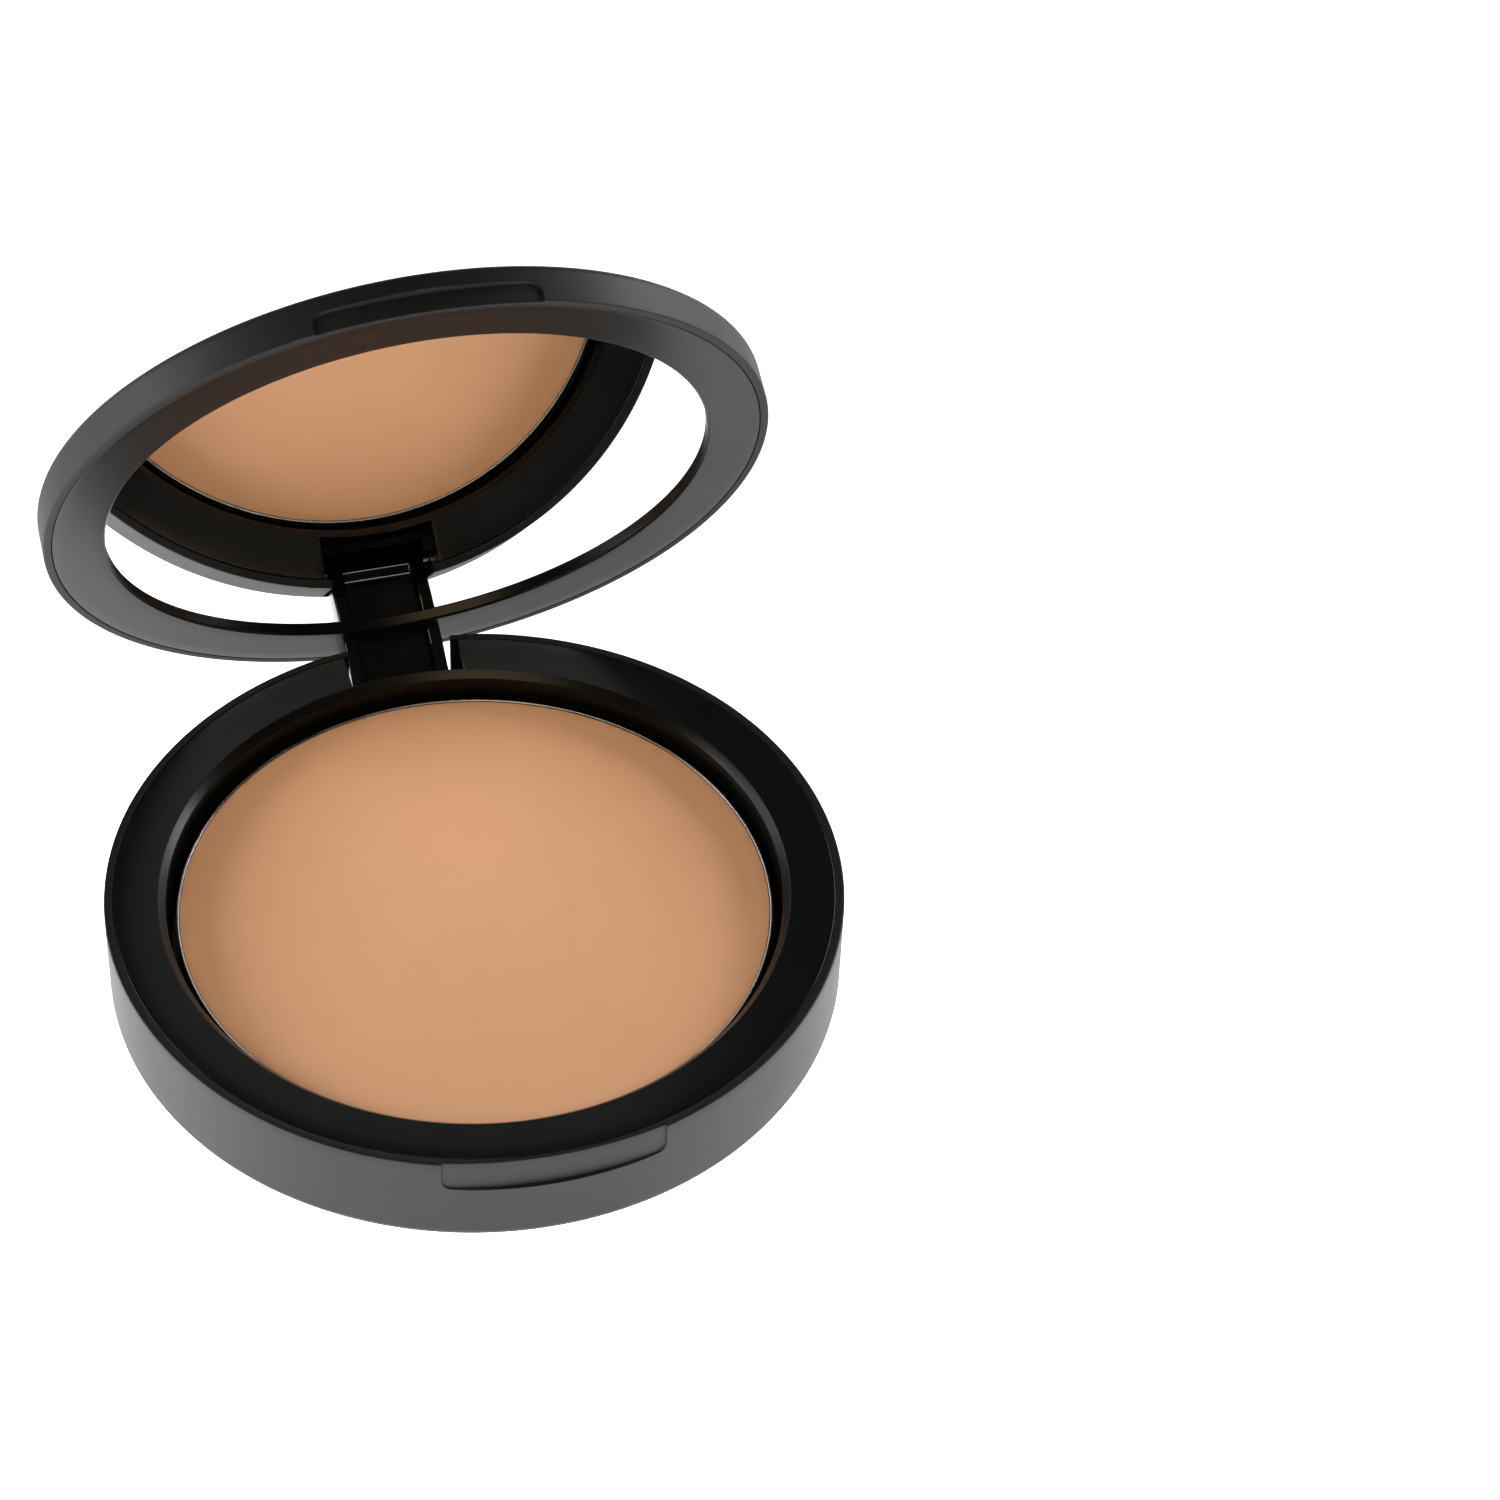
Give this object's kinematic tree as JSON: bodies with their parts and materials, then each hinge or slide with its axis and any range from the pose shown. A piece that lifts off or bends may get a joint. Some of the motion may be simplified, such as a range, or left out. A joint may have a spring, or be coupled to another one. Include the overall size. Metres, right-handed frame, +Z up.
{
  "type": "powder compact",
  "caption": "Round hinged compact standing open: pressed powder in a metal pan below, round mirror in the lid, thumb notch at the seam.",
  "frame": {"origin": "centre of the flat underside of the base", "axes": "+Z up, -Y towards the thumb notch at the front, +Y towards the hinge, +X to the right seen from the front"},
  "size_m": [0.073, 0.0819, 0.0731],
  "materials": {
    "soft_touch_black": "soft-touch matte",
    "satin_black": "satin moulded",
    "gloss_black": "high gloss",
    "pan_metal": "pressed sheet",
    "powder": "pressed powder, matte",
    "adhesive": "hot-melt glue",
    "pin_steel": "drawn wire",
    "magnet": "nickel plated",
    "label": "plain film label",
    "mirror_glass": "silvered glass",
    "foam_tape": "double-sided foam"
  },
  "bodies": {
    "base": {"base_shell": "soft_touch_black", "base_ring": "satin_black", "powder_pan": "pan_metal", "pressed_powder": "powder", "pan_adhesive": "adhesive", "hinge_pin": "pin_steel", "base_magnets": "magnet", "base_label": "label"},
    "lid": {"lid_shell": "soft_touch_black", "lid_ring": "satin_black", "hinge_arm": "gloss_black", "mirror": "mirror_glass", "mirror_tape": "foam_tape", "lid_magnets": "magnet"}
  },
  "joints": [
    {"name": "lid_hinge", "type": "hinge", "parent": "base", "child": "lid", "pos_m": [0, 0.034, 0.0033], "axis": [-1, 0, 0], "range_deg": [-69.7, 20.3]}
  ]
}
